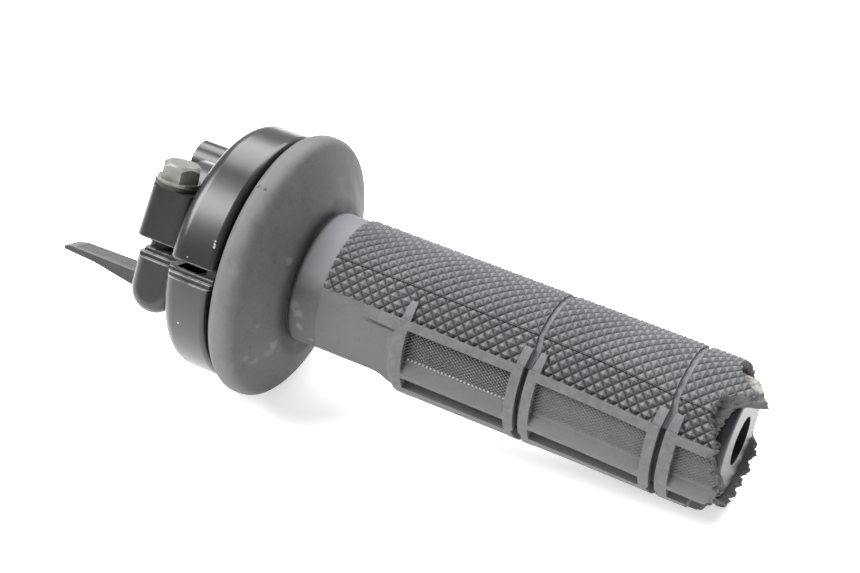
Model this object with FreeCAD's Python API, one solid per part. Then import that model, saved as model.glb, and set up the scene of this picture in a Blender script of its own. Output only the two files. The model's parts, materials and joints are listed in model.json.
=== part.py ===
import FreeCAD, Part
import math
import os

# Twist throttle for the right-hand end of a 22.2 mm motorcycle handlebar.
# X runs along the handlebar axis, out towards the rider's right; the origin is the middle of
# the clamp on that axis.  The parts are drawn with the split of the case level (bolts along Z,
# rider's side -Y, cable side +Y), and the whole assembly is then rolled about the handlebar
# axis into the attitude in which it rests on a table.

REST_ROLL = -18.0          # degrees about +X, from bolts upright to lying at rest

# ---- driving dimensions, mm --------------------------------------------------------------
BAR_R = 11.1               # handlebar, 22.2 mm
CLAMP_HALF = 6.0           # clamp runs from -CLAMP_HALF to +CLAMP_HALF
LOWER_BLOCK_IN = -4.8      # the lower blocks stop short of the clamp's inboard face
CLAMP_SHELL_R = 15.5
CLAMP_REACH = 23.0         # flat outer faces of the bolt blocks, from the axis
BLOCK_IN = 11.5            # inner side of the bolt blocks
BLOCK_TOP = 13.6
BLOCK_BOTTOM = -14.8
BLOCK_TAPER = (0.8, 0.5)   # how far the upper blocks draw in towards their tops: along, across
CORNER_R = 2.6
BOSS_ROUND = 5.4
BOSS_EDGE_R = 2.8

UPPER_FACE = 1.8           # split faces: the two half cases stand apart
LOWER_FACE = -0.5
LIP_STEPS = ((-1.5, 1.5), (-2.5, 0.7))   # (bottom of the step, how far it is set in)

DRUM_IN = 5.8
DRUM_OUT = 17.2
DRUM_R = 28.5
DRUM_ROUND = 3.2           # inboard shoulder
DRUM_EDGE = 1.4            # outboard shoulder
DRUM_WALL = 1.7
CAVITY_R = 26.2
CAVITY_OUT = 13.1
SEAL_SEAT_IN = 14.8        # counterbore for the dust seal, from here out
TUBE_OPENING_R = 19.4

BOLT_X = -0.8
BOLT_Y = 17.6
BOLT_R = 3.0               # M6
BOLT_HEX = 8.0             # across flats
BOLT_FLANGE_R = 4.9
BOLT_FLANGE_T = 0.9
BOLT_WASHER_R = 5.2
BOLT_WASHER_T = 0.8
BOLT_TOP = 18.9
BOLT_TIP = -11.5
BOLT_TURN = -2.0           # degrees that the hexagons happen to stand turned

TUBE_BORE_R = 11.35
TUBE_R = 13.0
TUBE_START = 8.4
TUBE_END = 129.3
END_WALL = 3.0
END_HOLE_R = 5.35
COLLAR_R = 18.6
COLLAR_X = (15.4, 17.4)

REEL_X = (8.4, 12.8)
REEL_R = 18.6
REEL_GROOVE_R = 16.0
CABLE_ABOVE_FLOOR = 1.0    # centre of the cable over the bottom of the reel's groove
REEL_LUG_R = 24.6
TRAVEL = 72.0              # degrees from closed to fully open

SEAL_X = (14.9, 17.0)
SEAL_R = (20.2, 26.2)

GRIP_FLANGE_R = 30.4
RIM_BACK = (21.0, 2.9)     # station of the rim's crest and radius of its rounding, each side
RIM_FRONT = (21.9, 3.2)
FACE_FOOT = (29.4, 17.2)   # the flange's face is a cone down to here
NECK_GROOVE = (29.7, 15.0)
COLLAR_START = 31.2
COLLAR_END = 37.2
THIN_R = 13.9              # the bottom of the smooth panel is thin
THIN_SECTOR = (236.0, 294.0)
THIN_END = 51.0
GRIP_COLLAR_R = 15.75
GRIP_R = 16.4
FRAME_R = 16.9             # raised frames on the underside
FRAME_START = 56.0
UNDERSIDE = (168.0, 302.0)
WIRE_GROOVES = (85.8, 116.6)
GROOVE_HALF = 0.6
WINDOW_FLOOR_R = 15.2

ROLLER_R = 5.2
ROLLER_GROOVE_R = 4.0
ROLLER_HALF = 1.7
ROLLER_TURN_R = 4.6        # cable centre in the roller's groove
AXLE_R = 1.6
POCKET_R = 5.8             # room for the roller
POCKET_HALF = 2.2
CHAMBER_R = 7.4
CHAMBER_HALF = 3.4
CHAMBER_REACH = 9.0        # from the roller's axis to the chamber's outer face
PORT_Y = 30.0              # cable port, parallel to the handlebar
PORT_Z = 6.8
PORT_R = 5.3
PORT_IN = -21.2
WASHER_T = 0.4
AXLE_HEAD_R = 2.9
BUSH_R = 4.0
BUSH_LENGTH = 9.0
BUSH_BORE_R = 3.1
WIRE_HOLE_R = 1.6

GUIDE_TIP = -33.8
GUIDE_TOP = -12.6
GUIDE_HALF_WIDTH = 3.0
GUIDE_WALL = 0.9
GUIDE_FOOT = 2.0           # thickness of its foot
GUIDE_SCREW_R = 1.5
GUIDE_HEAD_R = 2.6
GUIDE_SCREW_Y = 8.6
GUIDE_SCREW_Z = -11.9
GUIDE_BOSS_R = 3.7

# Angles round the handlebar axis, degrees from +Y towards +Z.
LUG_START = 197.0          # the reel's lug, throttle shut
LUG_END = 209.0
STOP_PLAY = 1.5
RIB_WIDTH = 6.0

# Underside pattern of the rubber: recessed windows, in bays along it and rows around it.
WINDOW_BAYS = ((58.5, 82.2), (89.2, 113.0), (119.8, 125.5))
WINDOW_ROWS = ((176.0, 206.0), (217.0, 229.0), (241.0, 253.0), (264.0, 294.0))

# The outer end of the rubber is torn: (height, station of the edge) on each side.
GRIP_END = 131.6
TORN_NEAR = (
    (17, 125.2), (15.2, 125.6), (13.6, 131.6), (12.4, 130.0), (9.4, 127.6), (4.2, 126.6),
    (0, 126.8), (-4.2, 128.6), (-8.2, 130.4), (-12.6, 131.0), (-17, 131.0),
)
TORN_FAR = (
    (17, 125.2), (13.6, 125.8), (5.6, 127.6), (-2.8, 128.0), (-5.6, 131.0), (-17, 131.0),
)

X_AXIS = FreeCAD.Vector(1, 0, 0)
ORIGIN = FreeCAD.Vector(0, 0, 0)
REEL_MID = sum(REEL_X) / 2

# The reel's lug meets one rib when the throttle is shut and the other when it is wide open.
SHUT_STOP = LUG_START - STOP_PLAY
OPEN_STOP = LUG_END + TRAVEL + STOP_PLAY
STOP_RIBS = ((SHUT_STOP - RIB_WIDTH, SHUT_STOP), (OPEN_STOP, OPEN_STOP + RIB_WIDTH))


def vec(x, y, z):
    return FreeCAD.Vector(x, y, z)


def rod(r, x0, x1, y=0.0, z=0.0):
    """Cylinder parallel to the handlebar."""
    return Part.makeCylinder(r, x1 - x0, vec(x0, y, z), X_AXIS)


def ring(r_in, r_out, x0, x1):
    return rod(r_out, x0, x1).cut(rod(r_in, x0 - 1, x1 + 1))


def box(x0, x1, y0, y1, z0, z1):
    return Part.makeBox(x1 - x0, y1 - y0, z1 - z0, vec(x0, y0, z0))


def post(r, x, y, z0, z1):
    """Cylinder along Z."""
    return Part.makeCylinder(r, z1 - z0, vec(x, y, z0))


def turned(edges):
    """Solid of revolution about the handlebar axis from a closed outline in the XZ plane."""
    return Part.Face(Part.Wire(edges)).revolve(ORIGIN, X_AXIS, 360)


def line(a, b):
    return Part.makeLine(vec(a[0], 0, a[1]), vec(b[0], 0, b[1]))


def arc(a, middle, b):
    return Part.Arc(vec(a[0], 0, a[1]), vec(middle[0], 0, middle[1]), vec(b[0], 0, b[1])).toShape()


def sector(r_in, r_out, x0, x1, start, end):
    """Part of a ring between two angles, measured from +Y towards +Z."""
    corners = [(x0, r_in), (x1, r_in), (x1, r_out), (x0, r_out)]
    points = [vec(x, r, 0) for x, r in corners]
    face = Part.Face(Part.makePolygon(points + points[:1]))
    face.rotate(ORIGIN, X_AXIS, start)
    return face.revolve(ORIGIN, X_AXIS, end - start)


# ---- cable run: tangent from the reel to the port ----------------------------------------
CABLE_RADIUS = REEL_GROOVE_R + CABLE_ABOVE_FLOOR
PORT_RADIUS = math.hypot(PORT_Y, PORT_Z)
TANGENT_ANGLE = math.atan2(PORT_Z, PORT_Y) + math.acos(CABLE_RADIUS / PORT_RADIUS)
RUN = vec(0, math.sin(TANGENT_ANGLE), -math.cos(TANGENT_ANGLE))
ROLLER_AXIS = vec(0, math.cos(TANGENT_ANGLE), math.sin(TANGENT_ANGLE))
ROLLER_MID = vec(REEL_MID - ROLLER_TURN_R, PORT_Y, PORT_Z) - RUN * ROLLER_TURN_R


def roller_post(r, low, high):
    """Cylinder on the roller's axis, between two heights measured from its middle plane."""
    return Part.makeCylinder(r, high - low, ROLLER_MID + ROLLER_AXIS * low, ROLLER_AXIS)


def roller_block(half_x, near, far, half_height):
    """Block square to the roller: near and far are distances from its axis along the cable's run."""
    block = box(-half_x, half_x, near, far, -half_height, half_height)
    block.rotate(ORIGIN, X_AXIS, math.degrees(TANGENT_ANGLE) - 90)
    block.translate(ROLLER_MID)
    return block


# ---- case ---------------------------------------------------------------------------------
def shoulder(corner, r, side):
    """Quarter round of the drum's outline; side is -1 inboard and +1 outboard."""
    knee = r * math.sqrt(0.5)
    return arc(
        (corner[0] + side * r, corner[1]),
        (corner[0] + side * knee, corner[1] + knee),
        (corner[0], corner[1] + r),
    )


def drum():
    inner = (DRUM_IN + DRUM_ROUND, DRUM_R - DRUM_ROUND)
    outer = (DRUM_OUT - DRUM_EDGE, DRUM_R - DRUM_EDGE)
    return turned([
        line((DRUM_IN, 0), (DRUM_IN, inner[1])),
        shoulder(inner, DRUM_ROUND, -1),
        line((inner[0], DRUM_R), (outer[0], DRUM_R)),
        shoulder(outer, DRUM_EDGE, 1),
        line((DRUM_OUT, outer[1]), (DRUM_OUT, 0)),
        line((DRUM_OUT, 0), (DRUM_IN, 0)),
    ])


def upper_block(side):
    """Block for a clamp bolt, drawn in a little towards its top, with its free corners rounded."""
    along, across = BLOCK_TAPER
    outlines = []
    for z, dx, dy in ((UPPER_FACE, 0, 0), (BLOCK_TOP, along, across)):
        outer = side * (CLAMP_REACH - dy)
        points = [
            vec(dx - CLAMP_HALF, side * BLOCK_IN, z), vec(CLAMP_HALF, side * BLOCK_IN, z),
            vec(CLAMP_HALF, outer, z), vec(dx - CLAMP_HALF, outer, z),
        ]
        outlines.append(Part.makePolygon(points + points[:1]))
    block = Part.makeLoft(outlines, True, True)
    middle = (UPPER_FACE + BLOCK_TOP) / 2
    upright = [e for e in block.Edges if abs(e.CenterOfMass.z - middle) < 0.01]
    free = [e for e in upright if abs(e.CenterOfMass.y) > CLAMP_REACH - 1]
    return block.makeFillet(CORNER_R, free)


def lower_block(side):
    """Block with a round underside, and a rounded edge all round its outer face."""
    y0, y1 = sorted((side * BLOCK_IN, side * CLAMP_REACH))
    block = box(LOWER_BLOCK_IN, CLAMP_HALF, y0, y1, BLOCK_BOTTOM, LOWER_FACE)
    bottom = [e for e in block.Edges if abs(e.CenterOfMass.z - BLOCK_BOTTOM) < 0.01]
    across = [e for e in bottom if abs(e.tangentAt(e.FirstParameter).y) > 0.99]
    block = block.makeFillet(BOSS_ROUND - 0.1, across)
    outer = [e for e in block.Edges if abs(e.CenterOfMass.y - side * CLAMP_REACH) < 0.01]
    return block.makeFillet(BOSS_EDGE_R, [e for e in outer if e.CenterOfMass.z < LOWER_FACE - 0.1])


def case_cavity():
    """Everything hollow that both halves share."""
    hollow = rod(BAR_R, -CLAMP_HALF - 1, CLAMP_HALF)
    hollow = hollow.fuse(rod(BAR_R + 1.2, CLAMP_HALF, DRUM_IN + DRUM_WALL))
    hollow = hollow.fuse(rod(CAVITY_R, DRUM_IN + DRUM_WALL, CAVITY_OUT))
    hollow = hollow.fuse(rod(TUBE_OPENING_R, CAVITY_OUT, DRUM_OUT + 2))
    return hollow.fuse(rod(SEAL_R[1] + 0.3, SEAL_SEAT_IN, DRUM_OUT + 2))


def upper_housing():
    case = drum().fuse(rod(CLAMP_SHELL_R, -CLAMP_HALF, DRUM_IN + 1))
    for side in (-1, 1):
        case = case.fuse(upper_block(side))
    case = case.common(box(-60, 60, -60, 60, UPPER_FACE, 60))
    case = case.fuse(roller_post(CHAMBER_R, -CHAMBER_HALF, CHAMBER_HALF))
    case = case.fuse(roller_block(CHAMBER_R, 0, CHAMBER_REACH, CHAMBER_HALF))
    case = case.fuse(rod(PORT_R, PORT_IN, ROLLER_MID.x - POCKET_R, PORT_Y, PORT_Z))
    case = case.cut(case_cavity())
    case = case.cut(roller_post(POCKET_R, -POCKET_HALF, POCKET_HALF))
    case = case.cut(roller_block(POCKET_R, 0, CHAMBER_REACH + 1, POCKET_HALF))
    case = case.cut(roller_post(AXLE_R + 0.02, -CHAMBER_HALF - 1, CHAMBER_HALF + 1))
    case = case.cut(roller_post(AXLE_HEAD_R + 0.4, CHAMBER_HALF, CHAMBER_HALF + 6))
    case = case.cut(cable_slot())
    case = case.cut(rod(WIRE_HOLE_R, PORT_IN - 1, ROLLER_MID.x, PORT_Y, PORT_Z))
    case = case.cut(rod(BUSH_R + 0.02, PORT_IN - 1, PORT_IN + BUSH_LENGTH, PORT_Y, PORT_Z))
    for side in (-1, 1):
        case = case.cut(post(BOLT_R + 0.3, BOLT_X, side * BOLT_Y, 0, BLOCK_TOP + 1))
        case = case.cut(post(BOLT_WASHER_R + 0.4, BOLT_X, side * BOLT_Y, BLOCK_TOP, BLOCK_TOP + 8))
    return case


def lip(inset, z0, z1):
    """What a step of the lower case's lip takes away between two heights."""
    reach = CLAMP_REACH - inset
    outside = box(-CLAMP_HALF - 1, DRUM_IN, -CLAMP_REACH - 1, CLAMP_REACH + 1, z0, z1)
    kept = box(LOWER_BLOCK_IN + inset, DRUM_IN + 1, -reach, reach, z0 - 1, z1 + 1)
    kept = kept.fuse(rod(CLAMP_SHELL_R - 1, -CLAMP_HALF, DRUM_IN + 1))
    rim = ring(DRUM_R - inset, DRUM_R + 2, DRUM_IN, DRUM_OUT + 2)
    return outside.cut(kept).fuse(rim.common(box(-60, 60, -60, 60, z0, z1)))


def lower_housing():
    case = drum().fuse(rod(CLAMP_SHELL_R, -CLAMP_HALF, DRUM_IN + 1))
    for side in (-1, 1):
        case = case.fuse(lower_block(side))
    case = case.fuse(rod(GUIDE_BOSS_R, -CLAMP_HALF, DRUM_IN + 1, GUIDE_SCREW_Y, GUIDE_SCREW_Z))
    case = case.common(box(-60, 60, -60, 60, -60, LOWER_FACE))
    case = case.cut(case_cavity())
    top = LOWER_FACE + 1
    for bottom, inset in LIP_STEPS:
        case = case.cut(lip(inset, bottom, top))
        top = bottom
    for start, end in STOP_RIBS:
        case = case.fuse(sector(21.0, CAVITY_R + 0.5, DRUM_IN + 1, CAVITY_OUT + 0.5, start, end))
    for side in (-1, 1):
        case = case.cut(post(BOLT_R + 0.05, BOLT_X, side * BOLT_Y, BOLT_TIP - 0.8, LOWER_FACE + 1))
    return case.cut(guide_screw_hole(GUIDE_SCREW_R + 0.02))


# ---- fasteners ----------------------------------------------------------------------------
def hexagon(flats, z0, z1):
    corner = vec(flats / math.sqrt(3), 0, z0)
    upright = vec(0, 0, 1)
    points = [FreeCAD.Rotation(upright, 60 * i + BOLT_TURN).multVec(corner) for i in range(6)]
    return Part.Face(Part.makePolygon(points + points[:1])).extrude(vec(0, 0, z1 - z0))


def clamp_bolt(side):
    seat = BLOCK_TOP + BOLT_WASHER_T
    bolt = post(BOLT_FLANGE_R, 0, 0, seat, seat + BOLT_FLANGE_T)
    chamfer = Part.makeCone(BOLT_HEX / 2 + 3.6, BOLT_HEX / 2 - 0.4, 4.0, vec(0, 0, BOLT_TOP - 4.0))
    head = hexagon(BOLT_HEX, seat, BOLT_TOP).common(chamfer.fuse(post(9, 0, 0, seat, BOLT_TOP - 4.0)))
    bolt = bolt.fuse(head).fuse(post(BOLT_R, 0, 0, BOLT_TIP, seat + 0.5))
    bolt.translate(vec(BOLT_X, side * BOLT_Y, 0))
    return bolt.removeSplitter()


def bolt_washer(side):
    bottom = BLOCK_TOP
    washer = post(BOLT_WASHER_R, BOLT_X, side * BOLT_Y, bottom, bottom + BOLT_WASHER_T)
    return washer.cut(post(BOLT_R + 0.2, BOLT_X, side * BOLT_Y, bottom - 1, bottom + 2))


# ---- cable roller, its chamber and port ----------------------------------------------------
def cable_slot():
    """Slot that lets the cable pass from the reel's groove to the roller."""
    run = CABLE_RADIUS * math.tan(math.acos(CABLE_RADIUS / PORT_RADIUS)) - ROLLER_TURN_R
    slot = box(-1.4, 1.4, 0, run, -1.4, 1.4)
    slot.rotate(ORIGIN, X_AXIS, math.degrees(TANGENT_ANGLE) - 90)
    slot.translate(vec(REEL_MID, 0, 0) + ROLLER_AXIS * CABLE_RADIUS)
    return slot


def cable_roller():
    wheel = roller_post(ROLLER_R, -ROLLER_HALF, ROLLER_HALF)
    groove = Part.makeTorus(ROLLER_R + 0.3, ROLLER_R + 0.3 - ROLLER_GROOVE_R, ROLLER_MID, ROLLER_AXIS)
    return wheel.cut(groove).cut(roller_post(AXLE_R + 0.06, -3, 3))


def roller_axle():
    head = roller_post(AXLE_HEAD_R, CHAMBER_HALF, CHAMBER_HALF + 1.7)
    socket = roller_post(1.3, CHAMBER_HALF + 0.7, CHAMBER_HALF + 3)
    return head.cut(socket).fuse(roller_post(AXLE_R, -CHAMBER_HALF, CHAMBER_HALF + 0.1))


def roller_washer(low):
    return roller_post(3.4, low, low + WASHER_T).cut(roller_post(AXLE_R + 0.06, -5, 5))


def pocket_plug():
    """Rubber plug in the slot that the roller is fitted through."""
    plug = roller_block(POCKET_R - 0.1, ROLLER_R + 1.0, CHAMBER_REACH, POCKET_HALF - 0.1)
    return plug.fuse(roller_block(POCKET_R - 0.1, CHAMBER_REACH, CHAMBER_REACH + 1.2, CHAMBER_HALF - 0.2))


def port_bush():
    bush = rod(BUSH_R, PORT_IN + 0.4, PORT_IN + BUSH_LENGTH, PORT_Y, PORT_Z)
    bush = bush.cut(rod(BUSH_BORE_R, PORT_IN - 1, PORT_IN + BUSH_LENGTH - 1.2, PORT_Y, PORT_Z))
    return bush.cut(rod(WIRE_HOLE_R, PORT_IN, PORT_IN + BUSH_LENGTH + 1, PORT_Y, PORT_Z))


# ---- cable guide: a tapered half channel under the handlebar --------------------------------
def guide_screw_hole(r):
    return rod(r, -CLAMP_HALF - 3, 1.5, GUIDE_SCREW_Y, GUIDE_SCREW_Z)


def cable_guide():
    outline = [
        (-CLAMP_HALF, GUIDE_TOP), (GUIDE_TIP + 3.0, GUIDE_TOP - 0.9), (GUIDE_TIP, -14.2),
        (GUIDE_TIP, -15.0), (-25.4, -15.4), (-17.0, -16.7), (-CLAMP_HALF, -18.2),
    ]
    points = [vec(x, -GUIDE_HALF_WIDTH, z) for x, z in outline]
    tongue = Part.Face(Part.makePolygon(points + points[:1])).extrude(vec(0, 2 * GUIDE_HALF_WIDTH, 0))
    tongue = tongue.common(rod(3.6, -60, 0, 0, -15.8))
    foot = box(
        -CLAMP_HALF - GUIDE_FOOT, -CLAMP_HALF,
        -GUIDE_HALF_WIDTH, GUIDE_SCREW_Y + GUIDE_HEAD_R, -18.0, -8.4,
    )
    inner = GUIDE_HALF_WIDTH - GUIDE_WALL
    guide = tongue.fuse(foot).cut(rod(inner, -60, 0, 0, -16.6))
    guide = guide.cut(box(-60, 0, -inner, inner, -30, -16.6)).cut(rod(BAR_R + 0.4, -60, 0))
    return guide.cut(guide_screw_hole(GUIDE_SCREW_R + 0.15))


def guide_screw():
    seat = -CLAMP_HALF - GUIDE_FOOT
    head = rod(GUIDE_HEAD_R, seat - 1.4, seat, GUIDE_SCREW_Y, GUIDE_SCREW_Z)
    return head.fuse(rod(GUIDE_SCREW_R, seat, 1.0, GUIDE_SCREW_Y, GUIDE_SCREW_Z))


# ---- turning parts --------------------------------------------------------------------------
def throttle_tube():
    edge = 1.5
    outline = [
        line((TUBE_START, 0), (TUBE_START, TUBE_R)),
        line((TUBE_START, TUBE_R), (TUBE_END - edge, TUBE_R)),
        arc(
            (TUBE_END - edge, TUBE_R),
            (TUBE_END - edge * 0.3, TUBE_R - edge * 0.3),
            (TUBE_END, TUBE_R - edge),
        ),
        line((TUBE_END, TUBE_R - edge), (TUBE_END, 0)),
        line((TUBE_END, 0), (TUBE_START, 0)),
    ]
    tube = turned(outline).fuse(rod(COLLAR_R, *COLLAR_X))
    tube = tube.cut(rod(TUBE_BORE_R, TUBE_START - 1, TUBE_END - END_WALL))
    return tube.cut(rod(END_HOLE_R, TUBE_END - END_WALL - 1, TUBE_END + 1))


def cable_reel():
    groove_half = 1.0
    reel = ring(TUBE_R, REEL_R, *REEL_X)
    reel = reel.cut(ring(REEL_GROOVE_R, REEL_R + 1, REEL_MID - groove_half, REEL_MID + groove_half))
    reel = reel.fuse(sector(TUBE_R + 1, REEL_LUG_R, REEL_X[0], REEL_X[1], LUG_START, LUG_END))
    seat = rod(2.4, REEL_X[0] + 1, REEL_X[1] + 1, 0, CABLE_RADIUS)
    seat.rotate(ORIGIN, X_AXIS, LUG_START - 93)
    return reel.cut(seat)


def reel_washer():
    return ring(TUBE_R + 0.3, REEL_R - 0.4, REEL_X[0] - 0.5, REEL_X[0] - 0.1)


def rim_point(rounding, degrees):
    x, r = rounding
    a = math.radians(degrees)
    return (x + r * math.cos(a), GRIP_FLANGE_R - r + r * math.sin(a))


def grip_body():
    back = [rim_point(RIM_BACK, a) for a in (180, 135, 90)]
    front = [rim_point(RIM_FRONT, a) for a in (90, 58, 26)]
    profile = [
        front[2], FACE_FOOT, NECK_GROOVE, (COLLAR_START, GRIP_COLLAR_R), (COLLAR_END, GRIP_COLLAR_R),
        (COLLAR_END, GRIP_R), (GRIP_END, GRIP_R), (GRIP_END, 0), (back[0][0], 0), back[0],
    ]
    outline = [line(a, b) for a, b in zip(profile, profile[1:])]
    outline += [arc(*back), line(back[2], front[0]), arc(*front)]
    return turned(Part.__sortEdges__(outline)).cut(rod(TUBE_R + 0.05, 0, GRIP_END + 1))


def torn_off(edge, y0):
    points = [vec(x, y0, z) for z, x in edge]
    points += [vec(GRIP_END + 5, y0, edge[-1][0]), vec(GRIP_END + 5, y0, edge[0][0])]
    return Part.Face(Part.makePolygon(points + points[:1])).extrude(vec(0, 20, 0))


def grip_rubber():
    grip = grip_body()
    grip = grip.cut(sector(GRIP_COLLAR_R, GRIP_R + 1, COLLAR_END, FRAME_START, *UNDERSIDE))
    grip = grip.fuse(sector(GRIP_COLLAR_R - 1, FRAME_R, FRAME_START, GRIP_END, *UNDERSIDE))
    grip = grip.cut(sector(THIN_R, GRIP_COLLAR_R + 1, COLLAR_START, THIN_END, *THIN_SECTOR))
    for station in WIRE_GROOVES:
        grip = grip.cut(ring(GRIP_COLLAR_R, GRIP_R + 1, station - GROOVE_HALF, station + GROOVE_HALF))
    for x0, x1 in WINDOW_BAYS:
        for start, end in WINDOW_ROWS:
            grip = grip.cut(sector(WINDOW_FLOOR_R, GRIP_R + 1, x0, x1, start, end))
    return grip.cut(torn_off(TORN_NEAR, -20)).cut(torn_off(TORN_FAR, 0))


def dust_seal():
    return ring(SEAL_R[0], SEAL_R[1], *SEAL_X)


def export(name, *solids):
    shape = solids[0] if len(solids) == 1 else Part.makeCompound(list(solids))
    shape.rotate(ORIGIN, X_AXIS, REST_ROLL)
    shape.exportStep("parts/" + name + ".step")


os.makedirs("parts", exist_ok=True)
export("upper_housing", upper_housing())
export("lower_housing", lower_housing())
export("clamp_bolts", clamp_bolt(-1), clamp_bolt(1))
export("bolt_washers", bolt_washer(-1), bolt_washer(1))
export("dust_seal", dust_seal())
export("cable_roller", cable_roller())
export("roller_axle", roller_axle())
export("roller_washers", roller_washer(-ROLLER_HALF - 0.45), roller_washer(ROLLER_HALF + 0.05))
export("pocket_plug", pocket_plug())
export("port_bush", port_bush())
export("cable_guide", cable_guide())
export("guide_screw", guide_screw())
export("throttle_tube", throttle_tube())
export("cable_reel", cable_reel())
export("reel_washer", reel_washer())
export("grip_rubber", grip_rubber())
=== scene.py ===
import json
import math

import bpy
import numpy as np
from mathutils import Matrix, Vector

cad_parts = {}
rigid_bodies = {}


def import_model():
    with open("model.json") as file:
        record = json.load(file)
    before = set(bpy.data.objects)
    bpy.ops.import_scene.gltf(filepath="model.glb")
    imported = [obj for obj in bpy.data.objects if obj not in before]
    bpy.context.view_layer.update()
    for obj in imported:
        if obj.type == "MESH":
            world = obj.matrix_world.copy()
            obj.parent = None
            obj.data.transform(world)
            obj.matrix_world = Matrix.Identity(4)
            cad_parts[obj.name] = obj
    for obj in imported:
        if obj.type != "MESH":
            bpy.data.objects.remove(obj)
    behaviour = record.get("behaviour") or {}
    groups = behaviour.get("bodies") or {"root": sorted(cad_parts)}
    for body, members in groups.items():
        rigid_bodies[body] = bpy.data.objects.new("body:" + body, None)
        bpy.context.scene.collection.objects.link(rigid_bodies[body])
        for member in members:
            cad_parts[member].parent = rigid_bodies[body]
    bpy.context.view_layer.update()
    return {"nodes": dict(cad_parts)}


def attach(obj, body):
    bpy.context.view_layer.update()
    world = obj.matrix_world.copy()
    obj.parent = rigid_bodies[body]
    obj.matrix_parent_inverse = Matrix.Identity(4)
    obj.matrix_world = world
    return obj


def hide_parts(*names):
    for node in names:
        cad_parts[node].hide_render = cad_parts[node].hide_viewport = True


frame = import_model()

# The twist throttle lies on its rubber flange and the outer end of its grip.  Shapes are worked
# out in millimetres with the clamp bolts upright, then rolled about the handlebar axis (X) into
# the row frame, in metres.
MM = 0.001
REST_ROLL = math.radians(-18.0)


def to_row(knurl_glints):
    """Millimetres with the bolts upright -> metres in the row frame."""
    p = np.asarray(knurl_glints, float)
    c, s = math.cos(REST_ROLL), math.sin(REST_ROLL)
    out = np.empty_like(p)
    out[..., 0] = p[..., 0]
    out[..., 1] = p[..., 1] * c - p[..., 2] * s
    out[..., 2] = p[..., 1] * s + p[..., 2] * c
    return out * MM


def smooth(x, a, b):
    """0 below a, 1 above b, smooth between (a may be above b)."""
    t = np.clip((np.asarray(x, float) - a) / (b - a), 0.0, 1.0)
    return t * t * (3 - 2 * t)


# ---------------------------------------------------------------------------------------------
# Rubber grip
# ---------------------------------------------------------------------------------------------
BORE_R = 13.05
FLANGE_BACK = 18.1
FLANGE_R = 30.4
RIM_BACK = (21.0, 2.9)        # station of the rim's crest and radius of its rounding, each side
RIM_FRONT = (21.9, 3.2)
SKIN_R = 14.1                 # inner layer of rubber left where the outside has torn away
THIN_R = 13.9                 # the bottom of the smooth panel is thin
COLLAR_R = 15.75
VALLEY_R = 15.72
TIP_R = 16.42
TAB_R = 16.50
FRAME_R = 16.9
FLOOR_R = 15.25
RECESS_R = 15.0
GROOVE_R = 15.45              # bottom of the wire grooves, above and on the underside
GROOVE_UNDER_R = 14.75
PATTERN_START = 37.2
TOP_LINE = 55.0               # the mesh is laid out from here down to the bottom line, twice
BOTTOM_LINE = 235.0
MM_PER_DEGREE = 0.2862        # along the pyramids' surface

ROW = 104.5 / 21              # degrees between rows of pyramids
PSI0 = 159.5                  # a row of tips
# stretches of pyramids: start, a row of tips, pitch, end
SECTIONS = ((37.2, 49.17, 2.5, 85.75), (85.75, 91.25, 2.475, 116.65), (116.65, 120.95, 2.475, 134.6))
STEPS = 3                     # mesh lines per half pitch

GROOVES = ((85.2, 86.4), (116.05, 117.35))
# raised tabs beside the frames: x0, x1, angle of the free end, lean of the inner side in mm
TABS = ((56.4, 58.6, 152.4, 0.75), (83.2, 85.2, 152.4, 0.45), (86.75, 88.85, 152.8, 0.8),
        (114.0, 116.05, 153.0, 0.5), (117.35, 119.75, 153.0, 0.7))
RIBS = ((56.3, 58.7), (82.9, 85.2), (86.4, 88.7), (113.7, 116.05), (117.35, 120.1))
WINDOWS = ((58.7, 82.9), (88.7, 113.7), (120.1, 140.0))
WINDOW_END = 210.5            # angle where the windows' floor has risen to the frame
RECESS = (216.0, 229.0)       # second row of openings, nearer the bottom
RAIL = (168.0, 174.6)
PARTING = 141.5               # parting line of the mould


def twist(x):
    """The old rubber has crept round the tube towards its outer end, in degrees."""
    return np.interp(x, [0, 60, 85, 100, 110, 117, 127, 140], [0, 0, 0.9, 2.2, 4.0, 5.7, 6.8, 7.4])


EDGE = np.array([
    (-15, 130.6), (-10, 129.0), (0, 128.0), (20, 127.4), (60, 125.6), (90, 124.9), (98, 125.4), (101, 127.6),
    (105, 129.6), (110, 130.9), (116, 131.8), (121, 132.5), (125.5, 133.8), (128, 132.6), (130, 130.6),
    (134, 128.9), (138, 128.0), (143, 127.5),
    (153, 127.0), (164, 126.6), (169, 127.0), (171, 127.9), (178, 128.0), (182, 127.8), (190, 128.6),
    (200, 130.2), (212, 130.9), (220, 130.4), (227, 128.6), (233, 128.9), (240, 130.0), (252, 130.6),
    (262, 130.9), (268, 129.6), (274, 130.9), (281, 129.8), (288, 131.0), (296, 129.9), (304, 131.3),
    (311, 130.1), (320, 131.4), (328, 130.2), (334, 131.3), (340, 130.4), (345, 130.6),
])
# where the patterned outside stops; from here to the edge only the inner layer is left
OUTSIDE = np.array([
    (-15, 129.6), (0, 127.2), (20, 126.6), (60, 125.4), (90, 124.8), (98, 125.2), (104, 126.0), (112, 126.8),
    (117, 128.4), (121, 130.6), (126, 130.9), (130, 127.6), (134, 125.6), (138, 124.6), (153, 124.3),
    (160, 125.6),
    (166, 126.2), (172, 127.2), (182, 127.0), (190, 127.9), (200, 129.2), (212, 129.9), (220, 129.0),
    (227, 126.2), (233, 124.3), (240, 123.9), (252, 124.3), (262, 125.8), (272, 127.0), (281, 127.6),
    (300, 128.0), (320, 128.6), (345, 129.6),
])


def along_tear(table, theta):
    th = np.mod(np.asarray(theta, float) + 15.0, 360.0) - 15.0
    return th, np.interp(th, table[:, 0], table[:, 1])


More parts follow.
